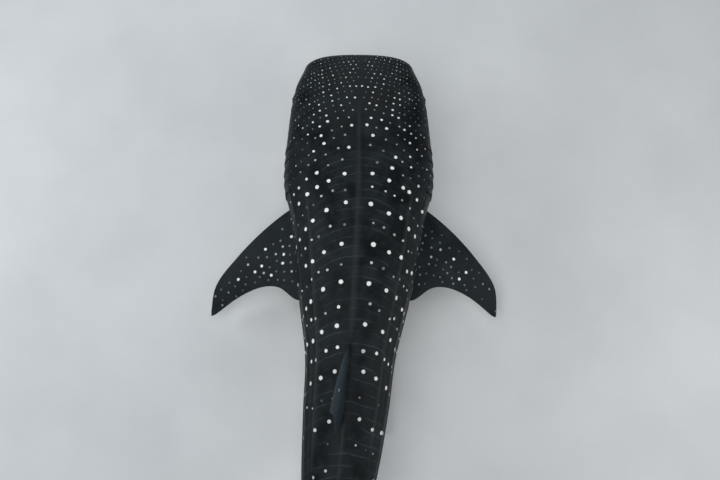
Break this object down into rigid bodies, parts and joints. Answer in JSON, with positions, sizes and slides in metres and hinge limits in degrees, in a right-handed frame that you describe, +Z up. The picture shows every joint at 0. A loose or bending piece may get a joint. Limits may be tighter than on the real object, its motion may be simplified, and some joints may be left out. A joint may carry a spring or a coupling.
{
  "type": "whale shark",
  "caption": "Life-size whale shark in a gentle swimming bend: broad flat head, spotted ridged back, swept pectoral fins and tall tail fin, held on a plain plate-and-rod display stand.",
  "frame": {"origin": "middle of the stand base's underside, on the floor", "axes": "+Z up, the head points to -Y, the animal's left side to +X"},
  "size_m": [2.532, 6.0068, 1.968],
  "materials": {
    "skin": "near-black shark skin with small white spots and thin pale lines, pale cream belly",
    "eye": "wet dark eye",
    "stand_plate": "satin grey paint",
    "stand_rod": "brushed"
  },
  "bodies": {
    "root": {"head": "skin", "lower_jaw": "skin", "eye_left": "eye", "eye_right": "eye", "gill_region": "skin", "trunk": "skin", "tail_stock": "skin", "caudal_peduncle": "skin", "pectoral_fin_left": "skin", "pectoral_fin_right": "skin", "pelvic_fin_left": "skin", "pelvic_fin_right": "skin", "first_dorsal_fin": "skin", "second_dorsal_fin": "skin", "anal_fin": "skin", "caudal_fin_upper": "skin", "caudal_fin_lower": "skin", "stand_base": "stand_plate", "stand_rod_front": "stand_rod", "stand_rod_rear": "stand_rod"}
  },
  "joints": []
}
